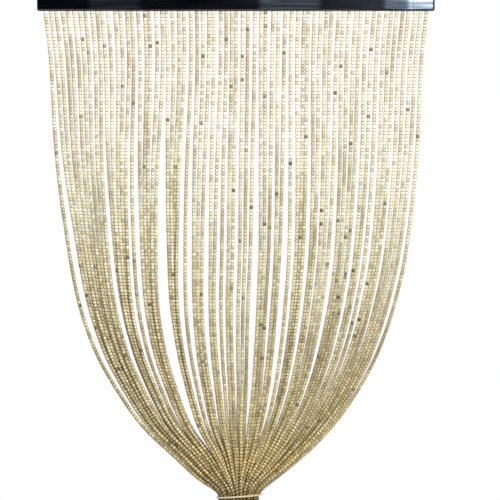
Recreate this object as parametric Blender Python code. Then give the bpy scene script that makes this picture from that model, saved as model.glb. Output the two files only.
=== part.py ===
"""A bead curtain on its rail, gathered by a tie: metres, +Z up, front towards -Y.

The origin is the middle of the rail's back face, which goes against a wall or lintel.
A drop is measured down from the rail's underside.
"""

import math
from collections import namedtuple

import bmesh
import bpy
import numpy as np

# Rail
RAIL_LENGTH = 0.900
RAIL_HEIGHT = 0.032
RAIL_DEPTH = 0.018
RAIL_FRONT_ROUND = 0.0045
RAIL_BACK_ROUND = 0.0010
ROUND_SEGMENTS = 3
RAIL_BOTTOM = -RAIL_HEIGHT / 2
STRAND_PLANE = -RAIL_DEPTH / 2

# Groove in the rail's underside, and the six strips seated in it
GROOVE_WIDTH = 0.0064
GROOVE_DEEP = 0.0060
FIT = 0.0003
STRIPS = 6
STRIPS_HALF_RUN = 0.4410

# Strands
STRANDS = 66
STRAND_LENGTH = 2.000
STRAND_SIDE = 0.0054
STRAND_REACH = 0.0041
CLEAR = 0.0083
PER_STRIP = STRANDS // STRIPS
ROOT_UNEVEN = 0.0022
ROOT_SEED = 33984

# Where the first and the last strand of each strip leave the rail, left to right
RootRun = namedtuple("RootRun", "first last")
ROOT_RUNS = (
    RootRun(-0.4329, -0.3045),
    RootRun(-0.2908, -0.1576),
    RootRun(-0.1463, -0.0111),
    RootRun(-0.0019, 0.1368),
    RootRun(0.1506, 0.2815),
    RootRun(0.2971, 0.4305),
)

# Drops of the levels at which the strands are worked out
LEVEL_STEP = 0.005
LOWEST_DROP = 2.010
PARTING_DROP = 0.770
SQUEEZE_POWER = 4
TIE_DROP = 1.096
TIE_LEVEL = round(TIE_DROP / LEVEL_STEP)
CHORD_ERROR = 0.0009
TIE_CHORD_ERROR = 0.0003
TIE_ZONE = 0.018

# How the strands settle: their sway front to back, how they share out the layers of the bundle,
# and the shares of a fault that each round puts right
OWN_SWAY = 0.0015
GOLDEN_SHARE = 0.381966
LAYER_SHARE = 0.9
SETTLE_ROUNDS = 60
PARTING_ROUNDS = 60
SMOOTH_EVERY = 4
NEIGHBOURS = 16
PUSH_SHARE = 0.28
RETURN_SHARE = 0.03
GATHER_SHARE = 0.5

# Bundle of strands in the tie, and the tail below it
BUNDLE_HALF_DEPTH = 0.0290
BUNDLE_PLANE = -0.0390
MID_DROP = 0.500
MID_PLANE = -0.0130
SQUEEZE_RUN = 0.140
LOOSE_WIDTH = 0.020
LOOSE_DEPTH = 0.5
TAIL_START = 0.020
TAIL_SPREAD = 1.28
TAIL_RUN = 0.420
TAIL_PLANE = -0.0460

# Tie
CORD_RADIUS = 0.0020
CORD_SIDES = 8
TIE_TILT = math.radians(4.0)
TIE_POINTS = 40

Edge = namedtuple("Edge", "drop left right")
OUTLINE = (
    Edge(0.000, -0.4360, 0.4360),
    Edge(0.110, -0.4230, 0.4240),
    Edge(0.315, -0.4110, 0.4140),
    Edge(0.540, -0.3820, 0.3900),
    Edge(0.655, -0.3600, 0.3650),
    Edge(0.770, -0.3210, 0.3260),
    Edge(0.880, -0.2580, 0.2660),
    Edge(0.949, -0.2070, 0.2130),
    Edge(0.994, -0.1580, 0.1700),
    Edge(1.062, -0.0800, 0.0880),
    Edge(1.080, -0.0450, 0.0570),
    Edge(1.092, -0.0380, 0.0520),
    Edge(1.116, -0.0380, 0.0520),
)

# The clumps into which the strands have drawn together at the parting drop, left to right
Clump = namedtuple("Clump", "strands left right")
CLUMPS = (
    Clump(1, -0.321, -0.313),
    Clump(9, -0.301, -0.244),
    Clump(5, -0.235, -0.210),
    Clump(1, -0.204, -0.196),
    Clump(5, -0.186, -0.158),
    Clump(4, -0.134, -0.117),
    Clump(1, -0.108, -0.099),
    Clump(3, -0.090, -0.067),
    Clump(2, -0.057, -0.042),
    Clump(1, -0.036, -0.027),
    Clump(2, -0.022, -0.006),
    Clump(3, 0.000, 0.028),
    Clump(3, 0.041, 0.064),
    Clump(2, 0.070, 0.085),
    Clump(1, 0.095, 0.106),
    Clump(3, 0.111, 0.130),
    Clump(2, 0.138, 0.151),
    Clump(3, 0.154, 0.178),
    Clump(4, 0.186, 0.216),
    Clump(2, 0.222, 0.236),
    Clump(1, 0.240, 0.249),
    Clump(3, 0.254, 0.275),
    Clump(4, 0.279, 0.311),
    Clump(1, 0.316, 0.326),
)

# Red, green, blue, roughness and metallic value of each finish
Finish = namedtuple("Finish", "red green blue roughness metallic")
LACQUER = Finish(0.012, 0.013, 0.016, 0.16, 0.0)
WOOD_BEADS = Finish(0.50, 0.38, 0.20, 0.32, 0.0)
COTTON_CORD = Finish(0.78, 0.68, 0.46, 0.80, 0.0)


def clear_scene():
    for obj in list(bpy.data.objects):
        bpy.data.objects.remove(obj, do_unlink=True)


def make_material(name, finish):
    material = bpy.data.materials.new(name)
    material.use_nodes = True
    shader = material.node_tree.nodes["Principled BSDF"]
    shader.inputs["Base Color"].default_value = (finish.red, finish.green, finish.blue, 1.0)
    shader.inputs["Roughness"].default_value = finish.roughness
    shader.inputs["Metallic"].default_value = finish.metallic
    return material


def finished_object(name, bm, material):
    """The bmesh as an object of this name, its normals out and its rounded edges smooth."""
    bmesh.ops.recalc_face_normals(bm, faces=bm.faces)
    mesh = bpy.data.meshes.new(name)
    bm.to_mesh(mesh)
    bm.free()
    mesh.materials.append(material)
    mesh.shade_smooth()
    mesh.set_sharp_from_angle(angle=math.radians(40))
    obj = bpy.data.objects.new(name, mesh)
    bpy.context.scene.collection.objects.link(obj)
    return obj


def smooth_through(places, values, at):
    """A smooth curve through the points, read at the places asked for, that never overshoots."""
    places = np.array(places)
    values = np.array(values)
    rise = np.diff(values) / np.diff(places)
    slope = np.concatenate([rise[:1], np.zeros(len(rise) - 1), rise[-1:]])
    for k in range(1, len(rise)):
        if rise[k - 1] * rise[k] > 0:
            slope[k] = 2 * rise[k - 1] * rise[k] / (rise[k - 1] + rise[k])
    k = np.clip(np.searchsorted(places, at) - 1, 0, len(rise) - 1)
    span = places[k + 1] - places[k]
    t = np.clip((at - places[k]) / span, 0, 1)
    bend = slope[k] + slope[k + 1] - 2 * rise[k]
    return values[k] + span * t * (slope[k] + t * (3 * rise[k] - 2 * slope[k] - slope[k + 1] + t * bend))


def ease(t):
    t = np.clip(t, 0, 1)
    return t * t * (3 - 2 * t)


def root_places():
    """Where the strands leave the rail, strip by strip, a little uneven as threaded by hand."""
    even = np.concatenate([np.linspace(run.first, run.last, PER_STRIP) for run in ROOT_RUNS])
    return even + np.random.default_rng(ROOT_SEED).uniform(-ROOT_UNEVEN, ROOT_UNEVEN, STRANDS)


def clumped_places():
    """Where the strands hang at the parting drop: from edge to edge of their clump, evenly."""
    places = []
    for clump in CLUMPS:
        middle = (clump.left + clump.right) / 2
        half = max((clump.right - clump.left) / 2 - STRAND_REACH, 0) if clump.strands > 1 else 0
        places.append(np.linspace(middle - half, middle + half, clump.strands))
    return np.concatenate(places)


def ellipse_shares():
    """Strand by strand, the place from -1 to 1 that fills an ellipse evenly."""
    across = np.linspace(-1, 1, 401)
    filled = 0.5 + (across * np.sqrt(1 - across * across) + np.arcsin(across)) / math.pi
    ranks = (np.arange(STRANDS) + 0.5) / STRANDS
    return np.interp(ranks, filled, across)


def wanted_across(drops):
    """Each strand's place across the curtain at each drop, before strands push each other."""
    table = list(zip(*OUTLINE))
    left = smooth_through(table[0], table[1], drops)[:, None] + STRAND_REACH
    right = smooth_through(table[0], table[2], drops)[:, None] - STRAND_REACH
    roots = root_places()
    clumped = clumped_places()
    at_rail = (roots - roots[0]) / (roots[-1] - roots[0])
    at_parting = (clumped - clumped[0]) / (clumped[-1] - clumped[0])
    at_tie = 0.5 + 0.5 * ellipse_shares()
    parted = ease(drops / PARTING_DROP)[:, None]
    squeezed = ease((drops - PARTING_DROP) / (TIE_DROP - PARTING_DROP))[:, None] ** SQUEEZE_POWER
    share = at_rail + (at_parting - at_rail) * parted
    share = share + (at_tie - share) * squeezed
    return left + (right - left) * share


def clump_pitch(wanted):
    """How far apart neighbours in a clump hang; a lone strand counts as well clear."""
    pitch = np.full_like(wanted, CLEAR)
    first = 0
    for clump in CLUMPS:
        last = first + clump.strands - 1
        if last > first:
            pitch[:, first:last + 1] = (wanted[:, last:last + 1] - wanted[:, first:first + 1]) / (last - first)
        first = last + 1
    return pitch


def wanted_deep(drops, wanted, lean):
    """Each strand's place front to back: nearly in one plane, and in layers where they crowd."""
    plane = smooth_through((0, MID_DROP, TIE_DROP), (STRAND_PLANE, MID_PLANE, BUNDLE_PLANE), drops)
    layers = CLEAR / (clump_pitch(wanted) * lean)
    spread = OWN_SWAY + LAYER_SHARE * CLEAR / 2 * np.maximum(layers - 1, 0)
    round_end = np.sqrt(1 - 0.9 * ellipse_shares() ** 2)
    layer = 2 * (np.arange(STRANDS) * GOLDEN_SHARE % 1) - 1
    return plane[:, None] + layer * np.minimum(spread, BUNDLE_HALF_DEPTH * round_end)


def settle(across, deep, wanted, wanted_back, lean, ellipse, rounds):
    """Pushes apart the strands that would touch at one level, and holds them near their places."""
    middle, plane, half_width, half_depth = ellipse
    pair_lean = (lean[:, None] + lean[None, :]) / 2
    for _ in range(rounds):
        side = (across[:, None] - across[None, :]) * pair_lean
        back = deep[:, None] - deep[None, :]
        apart = np.hypot(side, back) + np.eye(STRANDS)
        push = PUSH_SHARE * np.clip(CLEAR - apart, 0, None) / apart
        across = across + (push * side).sum(axis=1) + RETURN_SHARE * (wanted - across)
        deep = deep + (push * back).sum(axis=1) + RETURN_SHARE * (wanted_back - deep)
        reach = np.hypot((across - middle) / half_width, (deep - plane) / half_depth)
        pull = GATHER_SHARE * (1 - 1 / np.maximum(reach, 1))
        across = across - pull * (across - middle)
        deep = deep - pull * (deep - plane)
    return across, deep


def strand_paths():
    """Points of all strands, level by level: an array of levels x strands x (x, y, z)."""
    drops = np.arange(0, LOWEST_DROP + LEVEL_STEP, LEVEL_STEP)
    wanted = wanted_across(drops)
    lean = 1 / np.hypot(1, np.gradient(wanted, LEVEL_STEP, axis=0))
    backs = wanted_deep(drops, wanted, lean)
    across = wanted[0]
    deep = np.full(STRANDS, STRAND_PLANE)
    levels = [np.stack([across, deep], axis=1)]
    for k in range(1, TIE_LEVEL + 1):
        loose = max(TIE_DROP - drops[k], 0) / SQUEEZE_RUN
        middle = (wanted[k, 0] + wanted[k, -1]) / 2
        half_width = (wanted[k, -1] - wanted[k, 0]) / 2 + LOOSE_WIDTH * min(loose, 1)
        half_depth = BUNDLE_HALF_DEPTH * (1 + LOOSE_DEPTH * loose ** 2)
        ellipse = (middle, backs[k].mean(), half_width, half_depth)
        across = across + wanted[k] - wanted[k - 1]
        deep = deep + backs[k] - backs[k - 1]
        rounds = SETTLE_ROUNDS if loose < 2 else SETTLE_ROUNDS // 4
        across, deep = settle(across, deep, wanted[k], backs[k], lean[k], ellipse, rounds)
        levels.append(np.stack([across, deep], axis=1))
    return add_tail(part_touching(np.array(levels)), drops)


def part_touching(levels):
    """At all levels at once, smooths the strands' curves and pushes apart those that touch."""
    levels = levels.copy()
    for turn in range(PARTING_ROUNDS):
        if turn % SMOOTH_EVERY == 0:
            levels[1:-1] = (levels[:-2] + 2 * levels[1:-1] + levels[2:]) / 4
        ahead = np.gradient(levels, LEVEL_STEP, axis=0)
        move = np.zeros_like(levels)
        for offset in range(1, NEIGHBOURS + 1):
            slope = (ahead[:, offset:] + ahead[:, :-offset]) / 2
            gap = levels[:, offset:] - levels[:, :-offset]
            along = (gap * slope).sum(axis=2) ** 2 / (1 + (slope ** 2).sum(axis=2))
            apart = np.sqrt(np.maximum((gap ** 2).sum(axis=2) - along, 1e-12))
            push = (PUSH_SHARE * np.clip(CLEAR - apart, 0, None) / apart)[..., None] * gap
            move[:, offset:] += push
            move[:, :-offset] -= push
        levels[1:] += move[1:]
    return levels


def add_tail(levels, drops):
    """Adds the tail, which hangs straight and spreads a little below the tie."""
    in_tie = levels[-1]
    middle = (in_tie.max(axis=0) + in_tie.min(axis=0)) / 2
    below = drops[TIE_LEVEL + 1:]
    spread = 1 + (TAIL_SPREAD - 1) * ease((below - TIE_DROP - TAIL_START) / TAIL_RUN)
    hang = middle + np.array([0, TAIL_PLANE - BUNDLE_PLANE]) * ease((below - TIE_DROP) / TAIL_RUN)[:, None]
    tail = hang[:, None, :] + spread[:, None, None] * (in_tie - middle)
    flat = np.concatenate([levels, tail])
    height = np.broadcast_to((RAIL_BOTTOM - drops)[:, None, None], flat.shape[:2] + (1,))
    return np.concatenate([flat, height], axis=2)


def cut_to_length(path):
    """The point at which a strand of full length ends, and the level above it."""
    runs = np.linalg.norm(np.diff(path, axis=0), axis=1)
    length = np.concatenate([[0], np.cumsum(runs)])
    last = int(np.searchsorted(length, STRAND_LENGTH)) - 1
    share = (STRAND_LENGTH - length[last]) / runs[last]
    return last, path[last] + share * (path[last + 1] - path[last])


def section_levels(paths):
    """The fewest levels at which straight runs keep every strand close to its curve, closer at the tie."""
    near_tie = np.abs(np.arange(len(paths)) * LEVEL_STEP - TIE_DROP) < TIE_ZONE
    kept = [0]
    while kept[-1] < len(paths) - 1:
        start = kept[-1]
        reach = start + 1
        for trial in range(start + 2, len(paths)):
            t = np.linspace(0, 1, trial - start + 1)[1:-1, None, None]
            chord = paths[start] + (paths[trial] - paths[start]) * t
            off = np.linalg.norm(paths[start + 1:trial] - chord, axis=2).max()
            if off > (TIE_CHORD_ERROR if near_tie[trial] else CHORD_ERROR):
                break
            reach = trial
        kept.append(reach)
    return kept


def strand_points(path, levels):
    """A strand's own points: the shared levels above its end, then its end."""
    last, end = cut_to_length(path)
    too_near = 2 * STRAND_SIDE
    points = [path[k] for k in levels if k <= last and path[k][2] - end[2] > too_near]
    return np.array(points + [end])


def square_rings(points):
    """Four corners round each point below the root, square to the strand."""
    ahead = np.gradient(points, axis=0)
    ahead /= np.linalg.norm(ahead, axis=1)[:, None]
    rings = []
    for point, along in zip(points[1:], ahead[1:]):
        side = np.cross((0, 1, 0), along)
        side /= np.linalg.norm(side)
        back = np.cross(along, side)
        corners = ((1, -1), (-1, -1), (-1, 1), (1, 1))
        rings.append([point + STRAND_SIDE / 2 * (a * side + b * back) for a, b in corners])
    return rings


def add_strand(bm, root_ring, points):
    """Walls from the root's four corners down to the strand's end, and the end's face."""
    ring = root_ring
    for corners in square_rings(points):
        below = [bm.verts.new(corner) for corner in corners]
        for k in range(4):
            bm.faces.new((ring[k], ring[(k + 1) % 4], below[(k + 1) % 4], below[k]))
        ring = below
    bm.faces.new(ring)


def make_rail(material):
    bm = bmesh.new()
    bmesh.ops.create_cube(bm, size=1)
    bmesh.ops.scale(bm, vec=(RAIL_LENGTH, RAIL_DEPTH, RAIL_HEIGHT), verts=bm.verts)
    bmesh.ops.translate(bm, vec=(0, STRAND_PLANE, 0), verts=bm.verts)
    front = [e for e in bm.edges if any(v.co.y < STRAND_PLANE for v in e.verts)]
    bmesh.ops.bevel(bm, geom=front, offset=RAIL_FRONT_ROUND, segments=ROUND_SEGMENTS,
                    profile=0.5, affect="EDGES")
    back = [e for e in bm.edges if all(abs(v.co.y) < 1e-6 for v in e.verts)]
    bmesh.ops.bevel(bm, geom=back, offset=RAIL_BACK_ROUND, segments=1,
                    profile=0.5, affect="EDGES")
    rail = finished_object("rail", bm, material)
    rail.modifiers.new("groove", "BOOLEAN").object = groove_cutter()
    return rail


def groove_cutter():
    bm = bmesh.new()
    bmesh.ops.create_cube(bm, size=1)
    length = 2 * (STRIPS_HALF_RUN + FIT)
    bmesh.ops.scale(bm, vec=(length, GROOVE_WIDTH, 2 * GROOVE_DEEP), verts=bm.verts)
    bmesh.ops.translate(bm, vec=(0, STRAND_PLANE, RAIL_BOTTOM), verts=bm.verts)
    mesh = bpy.data.meshes.new("groove_cutter")
    bm.to_mesh(mesh)
    bm.free()
    cutter = bpy.data.objects.new("groove_cutter", mesh)
    bpy.context.scene.collection.objects.link(cutter)
    cutter.hide_render = True
    cutter.display_type = "WIRE"
    return cutter


def strip_ends(roots, first):
    """A strip reaches half way to the next strip's strand, less half the fitting gap."""
    last = first + PER_STRIP - 1
    start = -STRIPS_HALF_RUN
    end = STRIPS_HALF_RUN
    if first > 0:
        start = (roots[first - 1] + roots[first]) / 2 + FIT / 2
    if last < STRANDS - 1:
        end = (roots[last] + roots[last + 1]) / 2 - FIT / 2
    return start, end


def make_strand_group(number, paths, levels, material):
    """A narrow strip, and the eleven strands that grow from its underside."""
    first = number * PER_STRIP
    roots = paths[0, :, 0]
    start, end = strip_ends(roots, first)
    half_depth = GROOVE_WIDTH / 2 - FIT
    top = RAIL_BOTTOM + GROOVE_DEEP - FIT
    bm = bmesh.new()
    stations = [start]
    for root in roots[first:first + PER_STRIP]:
        stations += [root - STRAND_SIDE / 2, root + STRAND_SIDE / 2]
    stations.append(end)
    frames = []
    for x in stations:
        corners = ((-1, RAIL_BOTTOM), (1, RAIL_BOTTOM), (1, top), (-1, top))
        frames.append([bm.verts.new((x, STRAND_PLANE + side * half_depth, z)) for side, z in corners])
    bm.faces.new(frames[0])
    bm.faces.new(frames[-1])
    for k in range(len(frames) - 1):
        here, there = frames[k], frames[k + 1]
        for a, b in ((1, 2), (2, 3), (3, 0)):
            bm.faces.new((here[a], there[a], there[b], here[b]))
        if k % 2 == 0:
            bm.faces.new((here[0], there[0], there[1], here[1]))
        else:
            strand = first + k // 2
            add_strand(bm, (here[0], there[0], there[1], here[1]), strand_points(paths[:, strand], levels))
    return finished_object(f"strands_{number + 1}", bm, material)


def tie_line(paths):
    """The cord's centre line: tight round the bundle where the tilted cord crosses it."""
    around = paths[TIE_LEVEL - 3:TIE_LEVEL + 3]
    in_tie = paths[TIE_LEVEL, :, :2]
    middle = (in_tie.max(axis=0) + in_tie.min(axis=0)) / 2
    half_width = (in_tie[:, 0].max() - in_tie[:, 0].min()) / 2
    offset = CLEAR / 2 + FIT + CORD_RADIUS
    line = []
    for k in range(TIE_POINTS):
        angle = 2 * math.pi * k / TIE_POINTS
        outward = np.array([math.cos(angle), math.sin(angle)])
        level = RAIL_BOTTOM - TIE_DROP + math.tan(TIE_TILT) * half_width * outward[0]
        beside = around[np.abs(around[:, 0, 2] - level) < CORD_RADIUS + LEVEL_STEP / 2].reshape(-1, 3)
        x, y = beside[np.argmax(beside[:, :2] @ outward), :2] + offset * outward
        z = RAIL_BOTTOM - TIE_DROP + math.tan(TIE_TILT) * (x - middle[0])
        line.append((x, y, z))
    return np.array(line)


def make_tie(paths, material):
    """A closed ring of round cord."""
    line = tie_line(paths)
    bm = bmesh.new()
    rings = []
    for k, point in enumerate(line):
        along = line[(k + 1) % TIE_POINTS] - line[k - 1]
        out = np.cross(along, (0, 0, 1))
        out /= np.linalg.norm(out)
        ring = []
        for j in range(CORD_SIDES):
            turn = 2 * math.pi * j / CORD_SIDES
            offset = CORD_RADIUS * (math.cos(turn) * out + math.sin(turn) * np.array([0, 0, 1]))
            ring.append(bm.verts.new(point + offset))
        rings.append(ring)
    for k, ring in enumerate(rings):
        after = rings[(k + 1) % TIE_POINTS]
        for j in range(CORD_SIDES):
            n = (j + 1) % CORD_SIDES
            bm.faces.new((ring[j], ring[n], after[n], after[j]))
    return finished_object("tie", bm, material)


def main():
    clear_scene()
    paths = strand_paths()
    levels = section_levels(paths)
    make_rail(make_material("black_lacquer", LACQUER))
    beads = make_material("wood_beads", WOOD_BEADS)
    for number in range(STRIPS):
        make_strand_group(number, paths, levels, beads)
    make_tie(paths, make_material("cotton_cord", COTTON_CORD))
    print("levels of the strands:", len(levels))


main()
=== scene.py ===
# %% [markdown]
# Bead curtain on its rail
#
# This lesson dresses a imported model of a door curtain: a black lacquered rail, 66 strings of
# wooden beads, and a cord that gathers them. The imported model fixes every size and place. Here
# each solid gets its real surface: separate beads on real thread, a twisted cord, and lacquer
# with a fine grain.

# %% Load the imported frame
import math
from collections import namedtuple
from functools import partial

import bmesh
import bpy
import numpy as np
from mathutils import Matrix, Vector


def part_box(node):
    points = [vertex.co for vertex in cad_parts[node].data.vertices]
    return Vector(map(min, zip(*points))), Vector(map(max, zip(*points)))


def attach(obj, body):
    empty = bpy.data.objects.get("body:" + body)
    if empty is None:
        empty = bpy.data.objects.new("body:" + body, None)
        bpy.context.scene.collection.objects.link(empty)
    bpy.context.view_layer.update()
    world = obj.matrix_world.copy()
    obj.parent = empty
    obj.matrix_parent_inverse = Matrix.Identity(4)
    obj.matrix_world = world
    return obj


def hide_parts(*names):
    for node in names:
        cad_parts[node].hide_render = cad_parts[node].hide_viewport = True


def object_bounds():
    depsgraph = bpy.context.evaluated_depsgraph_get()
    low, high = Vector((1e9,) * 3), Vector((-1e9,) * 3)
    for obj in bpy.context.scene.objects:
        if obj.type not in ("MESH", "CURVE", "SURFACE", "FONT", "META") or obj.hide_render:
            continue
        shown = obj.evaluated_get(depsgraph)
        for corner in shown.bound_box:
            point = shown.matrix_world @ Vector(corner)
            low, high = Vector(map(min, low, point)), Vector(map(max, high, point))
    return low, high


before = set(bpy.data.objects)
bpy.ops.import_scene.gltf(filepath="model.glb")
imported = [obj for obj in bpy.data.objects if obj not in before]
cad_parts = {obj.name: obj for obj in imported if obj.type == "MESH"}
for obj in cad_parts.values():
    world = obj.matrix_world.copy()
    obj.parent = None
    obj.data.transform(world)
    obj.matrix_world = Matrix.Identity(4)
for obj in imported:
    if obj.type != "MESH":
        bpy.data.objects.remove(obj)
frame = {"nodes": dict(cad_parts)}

cad_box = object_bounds()
rail_low, rail_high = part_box("rail")
tie_low, tie_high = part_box("tie")
RAIL_BOTTOM = round(rail_low.z, 6)
STRAND_PLANE = round((rail_low.y + rail_high.y) / 2, 6)
print("nodes:", ", ".join(frame["nodes"]))
print("rail underside at", RAIL_BOTTOM, "strands leave it at y", STRAND_PLANE)
print("tie between", round(tie_low.z, 3), "and", round(tie_high.z, 3))


def add_object(name, data):
    obj = bpy.data.objects.new(name, data)
    bpy.context.scene.collection.objects.link(obj)
    return obj


# %% [markdown]
# The camera
#
# The picture that this follows was taken square on to the curtain, from well back, with a long
# lens. A long lens far away keeps the rail straight and hardly enlarges the bundle, which comes
# forward of the rail. The frame cuts the rail's top edge at the top and ends just below the
# tie, so the camera's height and its place across follow from the width of the frame at the
# strands.

# %% Place the camera
FRAME_WIDTH = 1.132
CAMERA_DISTANCE = 8.0
CAMERA_ACROSS = 0.032
CAMERA_DROP = 0.5414
SENSOR_WIDTH = 36.0

camera_data = bpy.data.cameras.new("camera")
camera_data.sensor_width = SENSOR_WIDTH
camera_data.lens = SENSOR_WIDTH * CAMERA_DISTANCE / FRAME_WIDTH
camera = add_object("camera", camera_data)
camera.location = (CAMERA_ACROSS, STRAND_PLANE - CAMERA_DISTANCE, RAIL_BOTTOM - CAMERA_DROP)
camera.rotation_euler = (math.pi / 2, 0, 0)
bpy.context.scene.camera = camera
print("lens", round(camera_data.lens, 1), "mm at", CAMERA_DISTANCE, "m")

# %% [markdown]
# How a gathered curtain hangs
#
# On the real object each string hangs from its own hole, swings a little, clumps with its
# neighbours where they touch, and is squeezed into a round bundle by the tie. The solids were
# made by working out where each string goes, level by level. The same sum is done here, so that
# the beads run exactly where the solids are. A drop is measured down from the rail's underside.

# %% Sizes of the hanging strands
STRANDS = 66
GROUPS = 6
PER_GROUP = STRANDS // GROUPS
STRAND_LENGTH = 2.000
STRAND_REACH = 0.0041
CLEAR = 0.0083
ROOT_UNEVEN = 0.0022
ROOT_SEED = 33984
LEVEL_STEP = 0.005
LOWEST_DROP = 2.010
PARTING_DROP = 0.770
SQUEEZE_POWER = 4
TIE_DROP = 1.096
TIE_LEVEL = round(TIE_DROP / LEVEL_STEP)

RootRun = namedtuple("RootRun", "first last")
ROOT_RUNS = [RootRun(*row) for row in (
    (-0.4329, -0.3045),
    (-0.2908, -0.1576),
    (-0.1463, -0.0111),
    (-0.0019, 0.1368),
    (0.1506, 0.2815),
    (0.2971, 0.4305),
)]

Edge = namedtuple("Edge", "drop left right")
OUTLINE = [Edge(*row) for row in (
    (0.000, -0.436, 0.436),
    (0.110, -0.423, 0.424),
    (0.315, -0.411, 0.414),
    (0.540, -0.382, 0.390),
    (0.655, -0.360, 0.365),
    (0.770, -0.321, 0.326),
    (0.880, -0.258, 0.266),
    (0.949, -0.207, 0.213),
    (0.994, -0.158, 0.170),
    (1.062, -0.080, 0.088),
    (1.080, -0.045, 0.057),
    (1.092, -0.038, 0.052),
    (1.116, -0.038, 0.052),
)]

Clump = namedtuple("Clump", "strands left right")
CLUMPS = [Clump(*row) for row in (
    (1, -0.321, -0.313),
    (9, -0.301, -0.244),
    (5, -0.235, -0.210),
    (1, -0.204, -0.196),
    (5, -0.186, -0.158),
    (4, -0.134, -0.117),
    (1, -0.108, -0.099),
    (3, -0.090, -0.067),
    (2, -0.057, -0.042),
    (1, -0.036, -0.027),
    (2, -0.022, -0.006),
    (3, 0.000, 0.028),
    (3, 0.041, 0.064),
    (2, 0.070, 0.085),
    (1, 0.095, 0.106),
    (3, 0.111, 0.130),
    (2, 0.138, 0.151),
    (3, 0.154, 0.178),
    (4, 0.186, 0.216),
    (2, 0.222, 0.236),
    (1, 0.240, 0.249),
    (3, 0.254, 0.275),
    (4, 0.279, 0.311),
    (1, 0.316, 0.326),
)]
print("strands in the clumps:", sum(clump.strands for clump in CLUMPS))

# %% [markdown]
# A smooth curve through a short table
#
# The outline of the curtain is a table of a dozen widths. Straight lines between them would
# show as kinks, and a spline could swing past its points. This curve does neither: where the
# slope changes sign it goes flat, and elsewhere it takes the gentler mean of the two slopes.

# %% Curve helpers


def smooth_through(places, values, at):
    places = np.array(places)
    values = np.array(values)
    rise = np.diff(values) / np.diff(places)
    slope = np.concatenate([rise[:1], np.zeros(len(rise) - 1), rise[-1:]])
    for k in range(1, len(rise)):
        if rise[k - 1] * rise[k] > 0:
            slope[k] = 2 * rise[k - 1] * rise[k] / (rise[k - 1] + rise[k])
    k = np.clip(np.searchsorted(places, at) - 1, 0, len(rise) - 1)
    span = places[k + 1] - places[k]
    t = np.clip((at - places[k]) / span, 0, 1)
    bend = slope[k] + slope[k + 1] - 2 * rise[k]
    turn = 3 * rise[k] - 2 * slope[k] - slope[k + 1] + t * bend
    return values[k] + span * t * (slope[k] + t * turn)


def ease(t):
    t = np.clip(t, 0, 1)
    return t * t * (3 - 2 * t)


drops = np.arange(0, LOWEST_DROP + LEVEL_STEP, LEVEL_STEP)
print("levels:", len(drops))

# %% [markdown]
# Where each strand wants to be
#
# At the rail the strands are evenly spaced. At the parting drop they have drawn into clumps.
# At the tie they fill a flat round bundle. Between these, each strand keeps its share of the
# curtain's width and passes gently from one arrangement to the next. Front to back they spread
# into more layers the closer they crowd. A golden-ratio step gives neighbours different layers.

# %% Wanted places
BUNDLE_HALF_DEPTH = 0.0290
BUNDLE_PLANE = -0.0390
MID_DROP = 0.500
MID_PLANE = -0.0130
OWN_SWAY = 0.0015
GOLDEN_SHARE = 0.381966
LAYER_SHARE = 0.9
BUNDLE_ROUNDNESS = 0.9
SHARE_SAMPLES = 401


def clumped_places():
    places = []
    for clump in CLUMPS:
        middle = (clump.left + clump.right) / 2
        half = max((clump.right - clump.left) / 2 - STRAND_REACH, 0) if clump.strands > 1 else 0
        places.append(np.linspace(middle - half, middle + half, clump.strands))
    return np.concatenate(places)


def ellipse_shares():
    across = np.linspace(-1, 1, SHARE_SAMPLES)
    filled = 0.5 + (across * np.sqrt(1 - across * across) + np.arcsin(across)) / math.pi
    return np.interp((np.arange(STRANDS) + 0.5) / STRANDS, filled, across)


def wanted_across():
    table = list(zip(*OUTLINE))
    left = smooth_through(table[0], table[1], drops)[:, None] + STRAND_REACH
    right = smooth_through(table[0], table[2], drops)[:, None] - STRAND_REACH
    even = np.concatenate([np.linspace(run.first, run.last, PER_GROUP) for run in ROOT_RUNS])
    roots = even + np.random.default_rng(ROOT_SEED).uniform(-ROOT_UNEVEN, ROOT_UNEVEN, STRANDS)
    clumped = clumped_places()
    at_rail = (roots - roots[0]) / (roots[-1] - roots[0])
    at_parting = (clumped - clumped[0]) / (clumped[-1] - clumped[0])
    at_tie = 0.5 + 0.5 * ellipse_shares()
    parted = ease(drops / PARTING_DROP)[:, None]
    squeezed = ease((drops - PARTING_DROP) / (TIE_DROP - PARTING_DROP))[:, None] ** SQUEEZE_POWER
    share = at_rail + (at_parting - at_rail) * parted
    share = share + (at_tie - share) * squeezed
    return left + (right - left) * share


def clump_pitch(wanted):
    """How far apart neighbours in a clump hang; a lone strand counts as well clear."""
    pitch = np.full_like(wanted, CLEAR)
    first = 0
    for clump in CLUMPS:
        last = first + clump.strands - 1
        if last > first:
            width = wanted[:, last:last + 1] - wanted[:, first:first + 1]
            pitch[:, first:last + 1] = width / (last - first)
        first = last + 1
    return pitch


def wanted_deep(wanted, lean):
    plane = smooth_through((0, MID_DROP, TIE_DROP), (STRAND_PLANE, MID_PLANE, BUNDLE_PLANE), drops)
    layers = CLEAR / (clump_pitch(wanted) * lean)
    spread = OWN_SWAY + LAYER_SHARE * CLEAR / 2 * np.maximum(layers - 1, 0)
    round_end = np.sqrt(1 - BUNDLE_ROUNDNESS * ellipse_shares() ** 2)
    layer = 2 * (np.arange(STRANDS) * GOLDEN_SHARE % 1) - 1
    return plane[:, None] + layer * np.minimum(spread, BUNDLE_HALF_DEPTH * round_end)


wanted = wanted_across()
lean = 1 / np.hypot(1, np.gradient(wanted, LEVEL_STEP, axis=0))
backs = wanted_deep(wanted, lean)
print("width wanted at the tie:", round(np.ptp(wanted[TIE_LEVEL]) * 1000), "mm")

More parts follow.
